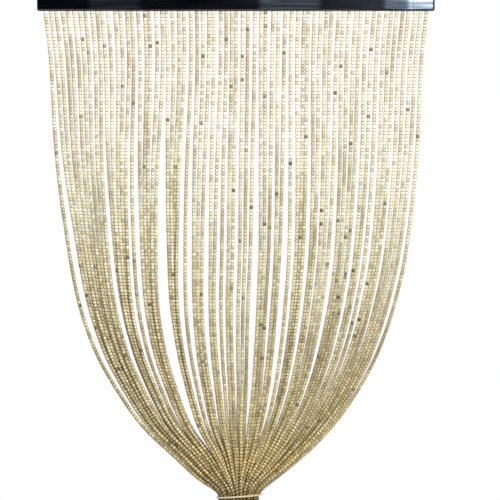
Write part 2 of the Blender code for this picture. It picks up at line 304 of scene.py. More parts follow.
# %% [markdown]
# Letting the strands settle
#
# Strands that would run through each other are pushed apart, a part of the overlap each round,
# while each is drawn back to its own place. Going down level by level carries the order of the
# strands along, so none swaps sides. Leaning strands need more room across than upright ones,
# which is why the sideways distance is multiplied by the lean. More than two squeeze runs above
# the tie the strands hang loose, and fewer rounds are enough.

# %% Settle level by level
SETTLE_ROUNDS = 60
PUSH_SHARE = 0.28
RETURN_SHARE = 0.03
GATHER_SHARE = 0.5
SQUEEZE_RUN = 0.140
LOOSE_WIDTH = 0.020
LOOSE_DEPTH = 0.5
LOOSE_FROM = 2
LOOSE_ROUNDS = SETTLE_ROUNDS // 4


def settle(across, deep, k, ellipse, rounds):
    middle, plane, half_width, half_depth = ellipse
    pair_lean = (lean[k][:, None] + lean[k][None, :]) / 2
    for _ in range(rounds):
        side = (across[:, None] - across[None, :]) * pair_lean
        back = deep[:, None] - deep[None, :]
        apart = np.hypot(side, back) + np.eye(STRANDS)
        push = PUSH_SHARE * np.clip(CLEAR - apart, 0, None) / apart
        across = across + (push * side).sum(axis=1) + RETURN_SHARE * (wanted[k] - across)
        deep = deep + (push * back).sum(axis=1) + RETURN_SHARE * (backs[k] - deep)
        reach = np.hypot((across - middle) / half_width, (deep - plane) / half_depth)
        pull = GATHER_SHARE * (1 - 1 / np.maximum(reach, 1))
        across = across - pull * (across - middle)
        deep = deep - pull * (deep - plane)
    return across, deep


def settled_levels():
    across = wanted[0]
    deep = np.full(STRANDS, STRAND_PLANE)
    levels = [np.stack([across, deep], axis=1)]
    for k in range(1, TIE_LEVEL + 1):
        loose = max(TIE_DROP - drops[k], 0) / SQUEEZE_RUN
        middle = (wanted[k, 0] + wanted[k, -1]) / 2
        half_width = (wanted[k, -1] - wanted[k, 0]) / 2 + LOOSE_WIDTH * min(loose, 1)
        half_depth = BUNDLE_HALF_DEPTH * (1 + LOOSE_DEPTH * loose ** 2)
        ellipse = (middle, backs[k].mean(), half_width, half_depth)
        across = across + wanted[k] - wanted[k - 1]
        deep = deep + backs[k] - backs[k - 1]
        rounds = SETTLE_ROUNDS if loose < LOOSE_FROM else LOOSE_ROUNDS
        across, deep = settle(across, deep, k, ellipse, rounds)
        levels.append(np.stack([across, deep], axis=1))
    return np.array(levels)


levels = settled_levels()
print("bundle at the tie:", np.round(np.ptp(levels[-1], axis=0) * 1000), "mm between centres")

# %% [markdown]
# Smoothing, parting and the tail
#
# The levels are then treated together: each curve is smoothed a little, and strands that still
# touch are parted. Only near neighbours in the row can touch, so the sum runs over steps along
# the row, not over every pair. Below the tie the strands hang straight, as a tail that spreads.

# %% Finish the paths
PARTING_ROUNDS = 60
SMOOTH_EVERY = 4
NEIGHBOURS = 16
TAIL_START = 0.020
TAIL_SPREAD = 1.28
TAIL_RUN = 0.420
TAIL_PLANE = -0.0460
TOUCHING = 1e-12


def part_touching(levels):
    levels = levels.copy()
    for turn in range(PARTING_ROUNDS):
        if turn % SMOOTH_EVERY == 0:
            levels[1:-1] = (levels[:-2] + 2 * levels[1:-1] + levels[2:]) / 4
        ahead = np.gradient(levels, LEVEL_STEP, axis=0)
        move = np.zeros_like(levels)
        for offset in range(1, NEIGHBOURS + 1):
            slope = (ahead[:, offset:] + ahead[:, :-offset]) / 2
            gap = levels[:, offset:] - levels[:, :-offset]
            along = (gap * slope).sum(axis=2) ** 2 / (1 + (slope ** 2).sum(axis=2))
            apart = np.sqrt(np.maximum((gap ** 2).sum(axis=2) - along, TOUCHING))
            push = (PUSH_SHARE * np.clip(CLEAR - apart, 0, None) / apart)[..., None] * gap
            move[:, offset:] += push
            move[:, :-offset] -= push
        levels[1:] += move[1:]
    return levels


def add_tail(levels):
    in_tie = levels[-1]
    middle = (in_tie.max(axis=0) + in_tie.min(axis=0)) / 2
    below = drops[TIE_LEVEL + 1:]
    spread = 1 + (TAIL_SPREAD - 1) * ease((below - TIE_DROP - TAIL_START) / TAIL_RUN)
    forward = np.array([0, TAIL_PLANE - BUNDLE_PLANE])
    hang = middle + forward * ease((below - TIE_DROP) / TAIL_RUN)[:, None]
    tail = hang[:, None, :] + spread[:, None, None] * (in_tie - middle)
    flat = np.concatenate([levels, tail])
    height = np.broadcast_to((RAIL_BOTTOM - drops)[:, None, None], flat.shape[:2] + (1,))
    return np.concatenate([flat, height], axis=2)


paths = add_tail(part_touching(levels))
print("paths: levels x strands x 3 =", paths.shape)

# %% [markdown]
# Cutting a strand to its length
#
# Every string is cut to the same length before it is hung. The outer ones take a longer way to
# the tie, so they end higher in the tail. A strand's stretch between two distances along it is
# read from the running length of its path.

# %% Stretches of a strand


def running_length(path):
    return np.concatenate([[0], np.cumsum(np.linalg.norm(np.diff(path, axis=0), axis=1))])


def at_lengths(path, lengths):
    along = running_length(path)
    return np.stack([np.interp(lengths, along, path[:, axis]) for axis in range(3)], axis=1)


def stretch(path, start, end):
    along = running_length(path)
    inner = along[(along > start) & (along < end)]
    return at_lengths(path, np.concatenate([[start], inner, [end]]))


ends = np.array([at_lengths(paths[:, k], [STRAND_LENGTH])[0, 2] for k in range(STRANDS)])
print("strand ends between", round(ends.min(), 3), "and", round(ends.max(), 3))

# %% [markdown]
# One bead
#
# The real beads are cut from square bar and their ends are rounded on a lathe, so each flat
# runs out in an arch and each corner is cut back. Here a belt of eight points, two at each
# corner, narrows to four points in the middle of the flats. That makes the arches and the
# cut corners with 44 triangles, few enough for thousands of beads. The bead keeps its own
# coordinates as an attribute, so that the wood grain follows each bead however it lies.

# %% Model the bead
BEAD_PITCH = 0.00760
BEAD_LENGTH = 0.00745
BEAD_FLAT = 0.0076
BEAD_CORNER = 0.0087
BEAD_BELT = 0.78
BEAD_END = 0.0062


def finished(name, bm, material=None, sharp=None):
    bmesh.ops.recalc_face_normals(bm, faces=bm.faces)
    mesh = bpy.data.meshes.new(name)
    bm.to_mesh(mesh)
    bm.free()
    mesh.shade_smooth()
    if material:
        mesh.materials.append(material)
    if sharp:
        mesh.set_sharp_from_angle(angle=math.radians(sharp))
    return add_object(name, mesh)


def evaluated_mesh(obj):
    evaluated = obj.evaluated_get(bpy.context.evaluated_depsgraph_get())
    return bpy.data.meshes.new_from_object(evaluated)


def weigh_normals(obj, weight):
    weighting = obj.modifiers.new("weighting", "WEIGHTED_NORMAL")
    weighting.mode = "FACE_AREA"
    weighting.weight = weight
    return weighting


def triangles(obj):
    return sum(len(face.vertices) - 2 for face in obj.data.polygons)


def bead_ring(bm, place, radius, angles, height):
    ring = []
    for angle in angles:
        vert = bm.verts.new((radius * math.cos(angle), radius * math.sin(angle), height))
        vert[place] = vert.co
        ring.append(vert)
    return ring


def make_bead():
    bm = bmesh.new()
    place = bm.verts.layers.float_vector.new("bead_place")
    corner = math.acos(BEAD_FLAT / BEAD_CORNER)
    flats = [k * math.pi / 2 for k in range(4)]
    belt_angles = [flat + side * corner for flat in flats for side in (-1, 1)]
    belts = []
    for side in (-1, 1):
        height = side * BEAD_LENGTH / 2
        tips = bead_ring(bm, place, BEAD_END / 2, flats, height)
        belt = bead_ring(bm, place, BEAD_CORNER / 2, belt_angles, BEAD_BELT * height)
        for k in range(4):
            left, right = belt[2 * k], belt[2 * k + 1]
            bm.faces.new((left, right, tips[k]))
            bm.faces.new((right, belt[(2 * k + 2) % 8], tips[(k + 1) % 4], tips[k]))
        bm.faces.new(tips)
        belts.append(belt)
    for k in range(8):
        bm.faces.new((belts[0][k], belts[0][(k + 1) % 8], belts[1][(k + 1) % 8], belts[1][k]))
    return finished("bead_pattern", bm)


bead_pattern = make_bead()
print("triangles in a bead:", triangles(bead_pattern))

# %% [markdown]
# Grain, shared by wood and lacquer
#
# Wood grain is noise stretched along one direction. The same group serves the beads, where it
# runs along each bead, and the rail, where it shows faintly through the lacquer. A group puts
# out masks only, and each material mixes its own colours with them.

# %% Shader group for grain
FIBRE_NOISE = {"Scale": 1.0, "Detail": 3.0, "Roughness": 0.6}
BAND_NOISE = {"Scale": 1.0, "Detail": 1.5, "Distortion": 0.6}
BAND_SCALE = 0.28


def add_node(tree, kind, values=None, **settings):
    node = tree.nodes.new(kind)
    for name, value in settings.items():
        setattr(node, name, value)
    for name, value in (values or {}).items():
        node.inputs[name].default_value = value
    return node


def add_sockets(tree, direction, sockets):
    for name, kind in sockets:
        tree.interface.new_socket(name, in_out=direction, socket_type="NodeSocket" + kind)


def connect(tree, links):
    """Each link is a node, its output, the next node and its input."""
    for source, out, target, into in links:
        tree.links.new(source.outputs[out], target.inputs[into])


def make_grain_group():
    group = bpy.data.node_groups.new("grain", "ShaderNodeTree")
    add_sockets(group, "INPUT", (("Place", "Vector"), ("Shift", "Float"), ("Fineness", "Vector")))
    add_sockets(group, "OUTPUT", (("Fibres", "Float"), ("Bands", "Float")))
    make = partial(add_node, group)
    given = make("NodeGroupInput")
    result = make("NodeGroupOutput")
    scaled = make("ShaderNodeVectorMath", operation="MULTIPLY")
    fibres = make("ShaderNodeTexNoise", FIBRE_NOISE, noise_dimensions="4D")
    slower = make("ShaderNodeVectorMath", {"Scale": BAND_SCALE}, operation="SCALE")
    bands = make("ShaderNodeTexNoise", BAND_NOISE, noise_dimensions="4D")
    connect(group, (
        (given, "Place", scaled, 0),
        (given, "Fineness", scaled, 1),
        (scaled, "Vector", fibres, "Vector"),
        (given, "Shift", fibres, "W"),
        (scaled, "Vector", slower, 0),
        (slower, "Vector", bands, "Vector"),
        (given, "Shift", bands, "W"),
        (fibres, "Fac", result, "Fibres"),
        (bands, "Fac", result, "Bands"),
    ))
    return group


grain_group = make_grain_group()
masks = [item.name for item in grain_group.interface.items_tree if item.in_out == "OUTPUT"]
print("grain group puts out:", ", ".join(masks))

# %% [markdown]
# Varnished wood
#
# Seen close, the beads are pale tan with fine lengthwise fibres and glossy varnish. Runs of
# beads along a string are creamier or browner, one bead in five is brown by itself, and one in
# a hundred is dark brown with gold stripes. Two values stored on each bead carry this: its own
# tone, and its place in a run. Painted shade darkens and browns the wood down the curtain, most
# at the tie where the gathered strings shade each other, and less again below the tie. Towards
# the tie the varnish is also more polished.

# %% Helpers for materials


def ramp(tree, stops, factor):
    node = add_node(tree, "ShaderNodeValToRGB")
    points = node.color_ramp.elements
    while len(points) < len(stops):
        points.new(0.5)
    for point, (place, colour) in zip(points, stops):
        point.position = place
        point.color = colour + (1.0,)
    tree.links.new(factor, node.inputs["Fac"])
    return node.outputs["Color"]


def feed(tree, socket, value):
    if isinstance(value, bpy.types.NodeSocket):
        tree.links.new(value, socket)
    else:
        socket.default_value = value


def mix_colours(tree, factor, first, second, blend="MIX"):
    node = add_node(tree, "ShaderNodeMix", data_type="RGBA", blend_type=blend)
    for index, value in ((0, factor), (6, first), (7, second)):
        feed(tree, node.inputs[index], value + (1.0,) if isinstance(value, tuple) else value)
    return node.outputs[2]


def calculate(tree, operation, *values):
    node = add_node(tree, "ShaderNodeMath", operation=operation)
    for socket, value in zip(node.inputs, values):
        feed(tree, socket, value)
    return node.outputs[0]


def map_range(tree, value, low, high, new_low=0.0, new_high=1.0):
    node = add_node(tree, "ShaderNodeMapRange", {1: low, 2: high, 3: new_low, 4: new_high})
    tree.links.new(value, node.inputs[0])
    return node.outputs[0]


def noise(tree, place, scale, detail, roughness=0.5):
    values = {"Scale": scale, "Detail": detail, "Roughness": roughness}
    node = add_node(tree, "ShaderNodeTexNoise", values)
    tree.links.new(place, node.inputs["Vector"])
    return node.outputs["Fac"]


def object_place(tree):
    return add_node(tree, "ShaderNodeTexCoord").outputs["Object"]


def split_vector(tree, vector):
    node = add_node(tree, "ShaderNodeSeparateXYZ")
    tree.links.new(vector, node.inputs[0])
    return node.outputs


def new_material(name, roughness=0.5, coat_roughness=0.03):
    material = bpy.data.materials.new(name)
    material.use_nodes = True
    shader = material.node_tree.nodes["Principled BSDF"]
    shader.inputs["Roughness"].default_value = roughness
    shader.inputs["Coat Roughness"].default_value = coat_roughness
    return material, material.node_tree, shader


def attach_bump(tree, shader, height, distance, strength):
    bump = add_node(tree, "ShaderNodeBump", {"Distance": distance, "Strength": strength})
    tree.links.new(height, bump.inputs["Height"])
    tree.links.new(bump.outputs["Normal"], shader.inputs["Normal"])


def grain_masks(tree, place, shift, fineness):
    node = add_node(tree, "ShaderNodeGroup", node_tree=grain_group)
    node.inputs["Fineness"].default_value = fineness
    tree.links.new(place, node.inputs["Place"])
    if shift is not None:
        tree.links.new(shift, node.inputs["Shift"])
    return node.outputs["Fibres"], node.outputs["Bands"]


print("material helpers are ready")

# %% Colours and ranges of the wood
PALE = (
    (0.00, (0.40, 0.325, 0.20)),
    (0.35, (0.53, 0.45, 0.30)),
    (0.75, (0.63, 0.555, 0.395)),
    (1.00, (0.72, 0.655, 0.50)),
)
BROWN = (
    (0.00, (0.15, 0.106, 0.05)),
    (0.50, (0.31, 0.242, 0.128)),
    (1.00, (0.47, 0.385, 0.225)),
)
DARK = (
    (0.00, (0.055, 0.038, 0.012)),
    (0.55, (0.15, 0.108, 0.04)),
    (1.00, (0.42, 0.30, 0.105)),
)
CREAM = (0.76, 0.71, 0.555)
BAND_BROWN = (0.40, 0.28, 0.12)
# Colour of the bead ends: their end grain, and painted shade in the joints between beads
JOINT_BROWN = (0.12, 0.078, 0.036)

# Painted shade: what the wood's colour is multiplied by, from the top at 0, left as it is, to
# below the tie at 1. It deepens down the curtain and is darkest at the tie, where the gathered
# strings shade each other.
PAINTED_SHADE_DOWN = (
    (0.00, (1.00, 1.00, 1.00)),
    (0.17, (0.89, 0.90, 0.83)),
    (0.39, (0.75, 0.73, 0.59)),
    (0.53, (0.62, 0.57, 0.41)),
    (0.69, (0.59, 0.53, 0.32)),
    (0.80, (0.56, 0.45, 0.20)),
    (0.86, (0.25, 0.175, 0.03)),
    (1.00, (0.50, 0.41, 0.21)),
)
SHADE_FROM_HEIGHT = -0.25
SHADE_TO_HEIGHT = -1.25

# Ranges: the first two values become the last two, or 0 and 1
GRAIN_SHIFT = (0.0, 1.0, 0.0, 400.0)
TONE_SHARE = (0.0, 1.0, -0.25, 0.45)
CREAM_RUNS = (0.46, 0.32, 0.0, 0.50)
BROWN_RUNS = (0.49, 0.63, 0.0, 0.95)
BROWN_BEADS = (0.81, 0.82, 0.0, 0.75)
DARK_BEADS = (0.988, 0.991)
BAND_SHARE = (0.56, 0.70, 0.0, 0.45)
GOLD_STRIPES = (0.35, 0.68)
JOINT_RUN = (0.62 * BEAD_LENGTH / 2, 0.97 * BEAD_LENGTH / 2)
JOINT_DEPTH = (0.43, 0.77, 0.81, 0.74)
BEAD_ROUGHNESS = (0.3, 0.7, 0.46, 0.32)
BEAD_POLISH = (0.35, 0.77, 0.20, 0.45)
BEAD_GRAIN = (1500.0, 1500.0, 90.0)
FIBRE_SHARE = 0.9
print("the browner wood ends", round(tie_low.z - SHADE_TO_HEIGHT, 2), "m below the tie")

# %% Material of the beads


def stored(tree, name, output="Fac"):
    return add_node(tree, "ShaderNodeAttribute", attribute_name=name).outputs[output]


def make_bead_wood():
    material, tree, shader = new_material("varnished_wood_beads", coat_roughness=0.22)
    place = stored(tree, "bead_place", "Vector")
    tone = stored(tree, "tone")
    run = stored(tree, "run")
    hung = split_vector(tree, object_place(tree))["Z"]
    # The drop from the top, 0, to below the tie, 1; it sets the painted shade, the joints and the
    # polish
    drop_share = map_range(tree, hung, SHADE_FROM_HEIGHT, SHADE_TO_HEIGHT)
    fibres, bands = grain_masks(tree, place, map_range(tree, tone, *GRAIN_SHIFT), BEAD_GRAIN)
    tone_share = map_range(tree, tone, *TONE_SHARE)
    brown = ramp(tree, BROWN, fibres)
    dark = ramp(tree, DARK, map_range(tree, bands, *GOLD_STRIPES))
    off_middle = calculate(tree, "ABSOLUTE", split_vector(tree, place)["Z"])
    # Painted shade: each bead's ends are darkened, as end grain and as the shade in the joints
    end_grain_and_shade = map_range(tree, off_middle, *JOINT_RUN)
    joint = calculate(tree, "MULTIPLY", end_grain_and_shade, map_range(tree, drop_share, *JOINT_DEPTH))
    colour = ramp(tree, PALE, calculate(tree, "MULTIPLY_ADD", fibres, FIBRE_SHARE, tone_share))
    layers = (
        (map_range(tree, run, *CREAM_RUNS), CREAM),
        (map_range(tree, run, *BROWN_RUNS), brown),
        (map_range(tree, tone, *BROWN_BEADS), brown),
        (map_range(tree, bands, *BAND_SHARE), BAND_BROWN),
        (map_range(tree, tone, *DARK_BEADS), dark),
        (joint, JOINT_BROWN),
    )
    for share, over in layers:
        colour = mix_colours(tree, share, colour, over)
    # Painted shade down the curtain, darkest at the tie
    colour = mix_colours(tree, 1.0, colour, ramp(tree, PAINTED_SHADE_DOWN, drop_share), "MULTIPLY")
    tree.links.new(colour, shader.inputs["Base Color"])
    tree.links.new(map_range(tree, fibres, *BEAD_ROUGHNESS), shader.inputs["Roughness"])
    tree.links.new(map_range(tree, drop_share, *BEAD_POLISH), shader.inputs["Coat Weight"])
    attach_bump(tree, shader, fibres, distance=0.0002, strength=0.35)
    return material


bead_wood = make_bead_wood()
print("material:", bead_wood.name)

# %% [markdown]
# Threading the beads
#
# Geometry Nodes put one bead at each step along every string. The strings go in as plain
# edges. The tree turns them into curves, cuts them into equal steps, stores two values for the
# colour of each bead, and sets down a bead turned at random about its string. The runs of
# colour are a noise along each string, which reads how far along it a bead sits and which
# string it is on. The steps start just under the rail.

# %% Tree that threads beads on strings
ROOM_ABOVE = 0.0004
RUN_NOISE = {"Scale": 4.5, "Detail": 4.0, "Roughness": 0.8}
STRING_STEP = 0.618
SMALLEST_BEAD = (0.94, 0.94, 0.97)
LARGEST_BEAD = (1.00, 1.00, 1.02)
BEADS_PER_STRING = int((STRAND_LENGTH - ROOM_ABOVE) / BEAD_PITCH)


def make_threading_tree():
    tree = bpy.data.node_groups.new("thread_beads", "GeometryNodeTree")
    add_sockets(tree, "INPUT", (("Strings", "Geometry"), ("Bead", "Object"), ("Pitch", "Float"),
                                ("Seed", "Int"), ("Wood", "Material")))
    add_sockets(tree, "OUTPUT", (("Beads", "Geometry"),))
    make = partial(add_node, tree)
    given = make("NodeGroupInput")
    result = make("NodeGroupOutput")
    curves = make("GeometryNodeMeshToCurve")
    steps = make("GeometryNodeCurveToPoints", mode="LENGTH")
    tone = make("FunctionNodeRandomValue", data_type="FLOAT")
    place = make("GeometryNodeInputNamedAttribute", {"Name": "strand_place"},
                 data_type="FLOAT_VECTOR")
    along = make("ShaderNodeTexNoise", RUN_NOISE)
    store_tone, store_run = [
        make("GeometryNodeStoreNamedAttribute", {"Name": name}, data_type="FLOAT", domain="POINT")
        for name in ("tone", "run")
    ]
    roll = make("FunctionNodeRandomValue", {2: 0.0, 3: math.pi / 2}, data_type="FLOAT")
    about_string = make("ShaderNodeCombineXYZ")
    euler = make("FunctionNodeEulerToRotation")
    turned = make("FunctionNodeRotateRotation", rotation_space="LOCAL")
    size = make("FunctionNodeRandomValue", {0: SMALLEST_BEAD, 1: LARGEST_BEAD},
                data_type="FLOAT_VECTOR")
    bead = make("GeometryNodeObjectInfo", {"As Instance": True})
    instances = make("GeometryNodeInstanceOnPoints")
    real = make("GeometryNodeRealizeInstances")
    wood = make("GeometryNodeSetMaterial")
    connect(tree, (
        (given, "Strings", curves, "Mesh"),
        (curves, "Curve", steps, "Curve"),
        (given, "Pitch", steps, "Length"),
        (given, "Seed", tone, "Seed"),
        (given, "Seed", roll, "Seed"),
        (given, "Seed", size, "Seed"),
        (place, "Attribute", along, "Vector"),
        (steps, "Points", store_tone, "Geometry"),
        (tone, 1, store_tone, "Value"),
        (store_tone, "Geometry", store_run, "Geometry"),
        (along, "Fac", store_run, "Value"),
        (roll, 1, about_string, "Z"),
        (about_string, "Vector", euler, "Euler"),
        (steps, "Rotation", turned, "Rotation"),
        (euler, "Rotation", turned, "Rotate By"),
        (given, "Bead", bead, "Object"),
        (store_run, "Geometry", instances, "Points"),
        (bead, "Geometry", instances, "Instance"),
        (turned, "Rotation", instances, "Rotation"),
        (size, 0, instances, "Scale"),
        (instances, "Instances", real, "Geometry"),
        (real, "Geometry", wood, "Geometry"),
        (given, "Wood", wood, "Material"),
        (wood, "Geometry", result, "Beads"),
    ))
    return tree


threading_tree = make_threading_tree()
print("beads on each string:", BEADS_PER_STRING)

# %% [markdown]
# One mesh for each set of strings
#
# The tree runs once for each set of eleven strings. Weighted normals keep the flats looking
# flat while the small cut corners carry the roundness. The evaluated result is kept as a plain
# mesh, and the strings and the modifiers that made it are removed.

# %% Thread all six sets
FIRST_SEED = 11
LAST_STEP_ROOM = 0.0001
FACE_WEIGHT = 75


def string_edges(number):
    points = []
    edges = []
    places = []
    start = ROOM_ABOVE + BEAD_LENGTH / 2
    end = start + (BEADS_PER_STRING - 1) * BEAD_PITCH + LAST_STEP_ROOM
    for strand in range(number * PER_GROUP, (number + 1) * PER_GROUP):
        line = stretch(paths[:, strand], start, end)
        edges += [(len(points) + k, len(points) + k + 1) for k in range(len(line) - 1)]
        points += line.tolist()
        places += [(along, STRING_STEP * strand, STRING_STEP) for along in running_length(line)]
    mesh = bpy.data.meshes.new("strings")
    mesh.from_pydata(points, edges, [])
    strand_place = mesh.attributes.new("strand_place", "FLOAT_VECTOR", "POINT")
    strand_place.data.foreach_set("vector", np.array(places).ravel())
    return mesh


def set_input(modifier, name, value):
    for item in modifier.node_group.interface.items_tree:
        if item.in_out == "INPUT" and item.name == name:
            modifier[item.identifier] = value


def thread_beads(number):
    strings = add_object("strings", string_edges(number))
    threading = strings.modifiers.new("threading", "NODES")
    threading.node_group = threading_tree
    inputs = {
        "Bead": bead_pattern,
        "Pitch": BEAD_PITCH,
        "Seed": FIRST_SEED + number,
        "Wood": bead_wood,
    }
    for name, value in inputs.items():
        set_input(threading, name, value)
    weigh_normals(strings, FACE_WEIGHT)
    mesh = evaluated_mesh(strings)
    bpy.data.objects.remove(strings, do_unlink=True)
    mesh.name = f"beads_{number + 1}"
    return add_object(mesh.name, mesh)


bead_sets = [thread_beads(number) for number in range(GROUPS)]
bpy.data.objects.remove(bead_pattern, do_unlink=True)
for beads in bead_sets:
    print(beads.name, "has", triangles(beads), "triangles")

# %% [markdown]
# Threads and end knots
#
# A thread runs through each string of beads, from the strip in the rail to a knot below the
# last bead. It shows only in the joints, under the rail and at the bottom, so a tube with few
# sides and few rings is enough, as long as it never strays out of the beads.

# %% Tubes along lines
UPRIGHT = 0.5


def add_tube(bm, points, radius, sides, closed=False):
    """A tube along the points, with one radius or one for each point."""
    points = np.array(points)
    radii = np.broadcast_to(radius, len(points))
    if closed:
        ahead = np.roll(points, -1, axis=0) - np.roll(points, 1, axis=0)
    else:
        ahead = np.gradient(points, axis=0)
    ahead /= np.linalg.norm(ahead, axis=1)[:, None]
    rings = []
    for k in range(len(points)):
        toward = (0.0, 1.0, 0.0) if abs(ahead[k][2]) > UPRIGHT else (0.0, 0.0, 1.0)
        side = np.cross(toward, ahead[k])
        side /= np.linalg.norm(side)
        back = np.cross(ahead[k], side)
        ring = []
        for angle in np.arange(sides) * 2 * math.pi / sides:
            outward = math.cos(angle) * side + math.sin(angle) * back
            ring.append(bm.verts.new(points[k] + radii[k] * outward))
        rings.append(ring)
    pairs = list(zip(rings, rings[1:]))
    if closed:
        pairs.append((rings[-1], rings[0]))
    for here, there in pairs:
        for j in range(sides):
            n = (j + 1) % sides
            bm.faces.new((here[j], here[n], there[n], there[j]))
    if not closed:
        bm.faces.new(rings[0][::-1])
        bm.faces.new(rings[-1])


print("tubes are ready")

# %% [markdown]
# Cotton
#
# Thread and tie are undyed cotton: deep cream, matt, with a soft fuzz of fibres. A fine noise
# gives the uneven colour and a bump, a coarse one the handled patches, and a little sheen
# lightens the edges as fuzz does.

# %% Material of the thread and the tie
COTTON = (
    (0.30, (0.33, 0.25, 0.13)),
    (0.70, (0.60, 0.49, 0.30)),
)
SOIL = (0.27, 0.20, 0.09)
SOIL_SHARE = (0.45, 0.75, 0.0, 0.60)


def make_cotton():
    material, tree, shader = new_material("cream_cotton", 0.85)
    shader.inputs["Sheen Weight"].default_value = 0.35
    shader.inputs["Sheen Roughness"].default_value = 0.5
    place = object_place(tree)
    fuzz = noise(tree, place, 1900.0, 3.0)
    soiled = map_range(tree, noise(tree, place, 60.0, 2.0), *SOIL_SHARE)
    colour = mix_colours(tree, soiled, ramp(tree, COTTON, fuzz), SOIL)
    tree.links.new(colour, shader.inputs["Base Color"])
    attach_bump(tree, shader, fuzz, distance=0.0003, strength=0.5)
    return material


cotton = make_cotton()
print("material:", cotton.name)

# %% [markdown]
# The thread of each string
#
# The line is thinned to the fewest points that keep it within a millimetre of the true curve.

# %% Make the threads
THREAD_RADIUS = 0.0006
THREAD_STRAY = 0.0009
THREAD_SIDES = 4
THREAD_IN_STRIP = 0.001
THREAD_END = (0.002, 0.007)
KNOT_RADIUS = 0.0017
KNOT_SIDES = 6
KNOT_PLACES = (-0.2, 0.3, 1.0, 1.7, 2.2)
KNOT_SWELL = np.array((0.4, 0.85, 1.0, 0.8, 0.35))


def fewest_points(line, stray):
    kept = [0]
    while kept[-1] < len(line) - 1:
        start = kept[-1]
        reach = start + 1
        for trial in range(start + 2, len(line)):
            t = np.linspace(0, 1, trial - start + 1)[1:-1, None]
            chord = line[start] + (line[trial] - line[start]) * t
            if np.linalg.norm(line[start + 1:trial] - chord, axis=1).max() > stray:
                break
            reach = trial
        kept.append(reach)
    return line[kept]


def make_threads():
    bm = bmesh.new()
    last_bead_end = ROOM_ABOVE + BEADS_PER_STRING * BEAD_PITCH
    for strand in range(STRANDS):
        line = fewest_points(stretch(paths[:, strand], 0, last_bead_end), THREAD_STRAY)
        root = line[0] + (0, 0, THREAD_IN_STRIP)
        down = line[-1] - line[-2]
        down /= np.linalg.norm(down)
        add_tube(bm, np.vstack([root, line]), THREAD_RADIUS, THREAD_SIDES)
        knot = [line[-1] + down * KNOT_RADIUS * along for along in KNOT_PLACES]
        add_tube(bm, knot, KNOT_RADIUS * KNOT_SWELL, KNOT_SIDES)
        tail = [line[-1] + down * along for along in THREAD_END]
        add_tube(bm, tail, THREAD_RADIUS, THREAD_SIDES)
    return finished("threads", bm, cotton, sharp=60)


threads = make_threads()
print("threads have", triangles(threads), "triangles")

# %% [markdown]
# The tie
#
# One cotton cord goes round the gathered strings, a little tilted. A cord is three plies
# twisted together, and the twist is what tells it from a tube. Each ply is a tube that winds
# round the cord's centre line, which keeps clear of the outermost beads on every side.

# %% Make the twisted tie
CORD_RADIUS = 0.0020
FIT = 0.0003
TIE_TILT = math.radians(4.0)
TIE_POINTS = 40
PLIES = 3
PLY_RADIUS = 0.00108
PLY_WINDING = 0.00096
TWISTS = 30
POINTS_PER_TWIST = 12
PLY_SIDES = 7
SAMPLES_PER_POINT = 24


def tie_line():
    around = paths[TIE_LEVEL - 3:TIE_LEVEL + 3]
    in_tie = paths[TIE_LEVEL, :, :2]
    middle = (in_tie.max(axis=0) + in_tie.min(axis=0)) / 2
    half_width = np.ptp(in_tie[:, 0]) / 2
    offset = CLEAR / 2 + FIT + CORD_RADIUS
    line = []
    for k in range(TIE_POINTS):
        angle = 2 * math.pi * k / TIE_POINTS
        outward = np.array([math.cos(angle), math.sin(angle)])
        level = RAIL_BOTTOM - TIE_DROP + math.tan(TIE_TILT) * half_width * outward[0]
        near = np.abs(around[:, 0, 2] - level) < CORD_RADIUS + LEVEL_STEP / 2
        beside = around[near].reshape(-1, 3)
        x, y = beside[np.argmax(beside[:, :2] @ outward), :2] + offset * outward
        line.append((x, y, RAIL_BOTTOM - TIE_DROP + math.tan(TIE_TILT) * (x - middle[0])))
    return np.array(line)


def closed_curve(line, count):
    """A smooth closed curve through the points, as evenly spaced samples."""
    before, after, beyond = [np.roll(line, step, axis=0) for step in (1, -1, -2)]
    samples = []
    for k in range(len(line)):
        for t in np.linspace(0, 1, SAMPLES_PER_POINT, endpoint=False):
            weights = (
                -t + 2 * t ** 2 - t ** 3,
                2 - 5 * t ** 2 + 3 * t ** 3,
                t + 4 * t ** 2 - 3 * t ** 3,
                t ** 3 - t ** 2,
            )
            pulls = zip(weights, (before, line, after, beyond))
            samples.append(sum(weight * points[k] for weight, points in pulls) / 2)
    dense = np.array(samples + samples[:1])
    along = running_length(dense)
    return at_lengths(dense, np.linspace(0, along[-1], count, endpoint=False))


def make_tie():
    count = TWISTS * POINTS_PER_TWIST
    centre = closed_curve(tie_line(), count)
    ahead = np.roll(centre, -1, axis=0) - np.roll(centre, 1, axis=0)
    out = np.cross(ahead, (0, 0, 1))
    out /= np.linalg.norm(out, axis=1)[:, None]
    up = np.cross(out, ahead)
    up /= np.linalg.norm(up, axis=1)[:, None]
    bm = bmesh.new()
    for ply in range(PLIES):
        turn = 2 * math.pi * (np.arange(count) / POINTS_PER_TWIST + ply / PLIES)
        winding = PLY_WINDING * (np.cos(turn)[:, None] * out + np.sin(turn)[:, None] * up)
        add_tube(bm, centre + winding, PLY_RADIUS, PLY_SIDES, closed=True)
    return finished("tie_cord", bm, cotton, sharp=80)


tie_cord = make_tie()
print("tie has", triangles(tie_cord), "triangles")

# %% [markdown]
# The rail and its strips
#
# The rail is a plain lacquered bar, with a soft round along its front edges and a groove
# underneath. The strips that hold the strings are glued into the groove. The bar starts as a
# block that fills the rail's box, and bevels round its edges more finely than the solid's.

# %% Shape the rail and the strips
RAIL_FRONT_ROUND = 0.0045
RAIL_BACK_ROUND = 0.0010
GROOVE_WIDTH = 0.0064
GROOVE_DEEP = 0.0060
STRIPS_HALF_RUN = 0.4410
STRIP_ROUND = 0.0003
RAIL_FACE_WEIGHT = 100


